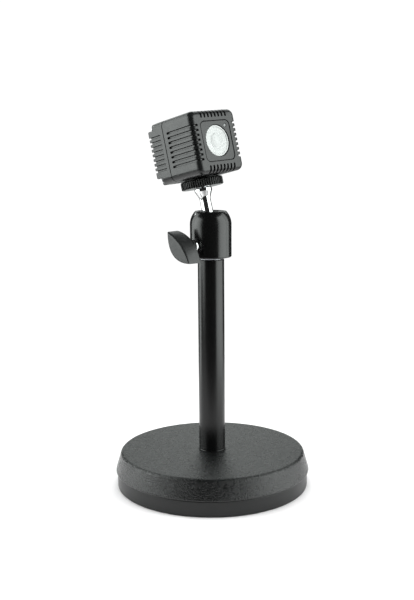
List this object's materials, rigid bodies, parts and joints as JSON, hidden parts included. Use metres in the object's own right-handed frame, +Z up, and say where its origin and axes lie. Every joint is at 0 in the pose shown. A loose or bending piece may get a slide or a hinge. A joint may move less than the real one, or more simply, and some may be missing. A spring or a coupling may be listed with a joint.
{
  "type": "led cube light on desk stand",
  "caption": "Small cube-shaped battery LED light on a clamped mini ball head, a tubular pole and a heavy round base with a rubber ring.",
  "frame": {"origin": "centre of the underside of the base", "axes": "+Z up along the pole; the light faces -Y; the clamp knob points along -X"},
  "size_m": [0.1192, 0.1192, 0.2285],
  "materials": {
    "iron": "coarse black powder coat",
    "rubber": "smooth dark grey",
    "zinc": "zinc plated",
    "black_tube": "satin black",
    "gloss_black": "gloss black",
    "chrome": "polished",
    "brass": "turned",
    "acetal": "black acetal",
    "knob_plastic": "fine-grained black",
    "wheel_black": "black anodised, knurled",
    "anodised": "bead-blasted, dark anodised",
    "bare_aluminium": "milled",
    "frosted_lens": "frosted white",
    "sensor_plastic": "pale grey",
    "phosphor": "yellow phosphor",
    "board_white": "white solder mask",
    "board_green": "green solder mask",
    "pouch": "foil pouch",
    "silicone": "dark silicone"
  },
  "bodies": {
    "stand": {"base_casting": "iron", "isolation_ring": "rubber", "pole_bolt": "zinc", "base_washer": "zinc", "base_lock_washer": "zinc", "pole_foot_washer": "black_tube", "pole_tube": "black_tube", "pole_foot_insert": "zinc", "pole_top_insert": "zinc", "ball_housing": "gloss_black", "housing_plug": "zinc", "ball_seat": "acetal", "knob_collar": "chrome"},
    "liner_body": {"ball_liner": "acetal"},
    "ball_body": {"ball_stem": "chrome", "mounting_stud": "zinc"},
    "pad_body": {"wheel_pad": "rubber"},
    "wheel_body": {"lock_wheel": "wheel_black"},
    "pin_body": {"pressure_pin": "brass"},
    "knob_body": {"clamp_knob": "knob_plastic", "knob_screw": "zinc"},
    "light": {"light_body": "anodised", "rear_cap": "anodised", "case_gasket": "silicone", "case_screw_1": "zinc", "case_screw_2": "zinc", "case_screw_3": "zinc", "case_screw_4": "zinc", "front_panel": "anodised", "lens": "frosted_lens", "lens_seal": "silicone", "sensor_window": "sensor_plastic", "led_chip": "phosphor", "led_board": "board_white", "heat_spreader": "bare_aluminium", "battery_pack": "pouch", "driver_board": "board_green", "power_switch": "knob_plastic", "charge_socket": "zinc", "tripod_insert": "brass", "button_seal": "silicone"},
    "button_body": {"power_button": "knob_plastic"},
    "seal_body": {"port_seal": "silicone"},
    "cap_body": {"port_cap": "anodised"}
  },
  "joints": [
    {"name": "head_pan", "type": "hinge", "parent": "stand", "child": "liner_body", "pos_m": [0, 0, 0.1592], "axis": [0, 0, 1], "continuous": true},
    {"name": "head_tilt", "type": "hinge", "parent": "liner_body", "child": "ball_body", "pos_m": [0, 0, 0.1592], "axis": [-0.9556, -0.2947, 0], "range_deg": [-34, 9.5]},
    {"name": "light_turn", "type": "hinge", "parent": "ball_body", "child": "light", "pos_m": [0, 0, 0.1592], "axis": [-0.0631, 0.2048, 0.9768], "range_deg": [-180, 180]},
    {"name": "pad_travel", "type": "slide", "parent": "ball_body", "child": "pad_body", "axis": [0.0631, -0.2048, -0.9768], "range_m": [0, 0.000299]},
    {"name": "wheel_turn", "type": "hinge", "parent": "pad_body", "child": "wheel_body", "pos_m": [0, 0, 0.1592], "axis": [0.0631, -0.2048, -0.9768], "range_deg": [0, 85]},
    {"name": "pin_travel", "type": "slide", "parent": "stand", "child": "pin_body", "axis": [-1, 0, 0], "range_m": [0, 0.0006]},
    {"name": "knob_turn", "type": "hinge", "parent": "pin_body", "child": "knob_body", "pos_m": [0, 0, 0.149], "axis": [-1, 0, 0], "range_deg": [0, 270.1]},
    {"name": "button_press", "type": "slide", "parent": "light", "child": "button_body", "axis": [0, -0.9787, 0.2052], "range_m": [0, 0.0006], "stiffness_N_per_m": 1500, "springref_m": -0.0004},
    {"name": "cap_travel", "type": "slide", "parent": "light", "child": "seal_body", "axis": [0, 0.9787, -0.2052], "range_m": [0, 0.002]},
    {"name": "cap_turn", "type": "hinge", "parent": "seal_body", "child": "cap_body", "pos_m": [-0.00267, 0.02627, 0.19678], "axis": [0, 0.9787, -0.2052], "range_deg": [0, 720.1]}
  ],
  "couplings": [
    {"joint": "wheel_turn", "follows": "pad_travel", "rad_per_m": 4947.4},
    {"joint": "knob_turn", "follows": "pin_travel", "rad_per_m": 7854},
    {"joint": "cap_turn", "follows": "cap_travel", "rad_per_m": 6283.2}
  ]
}
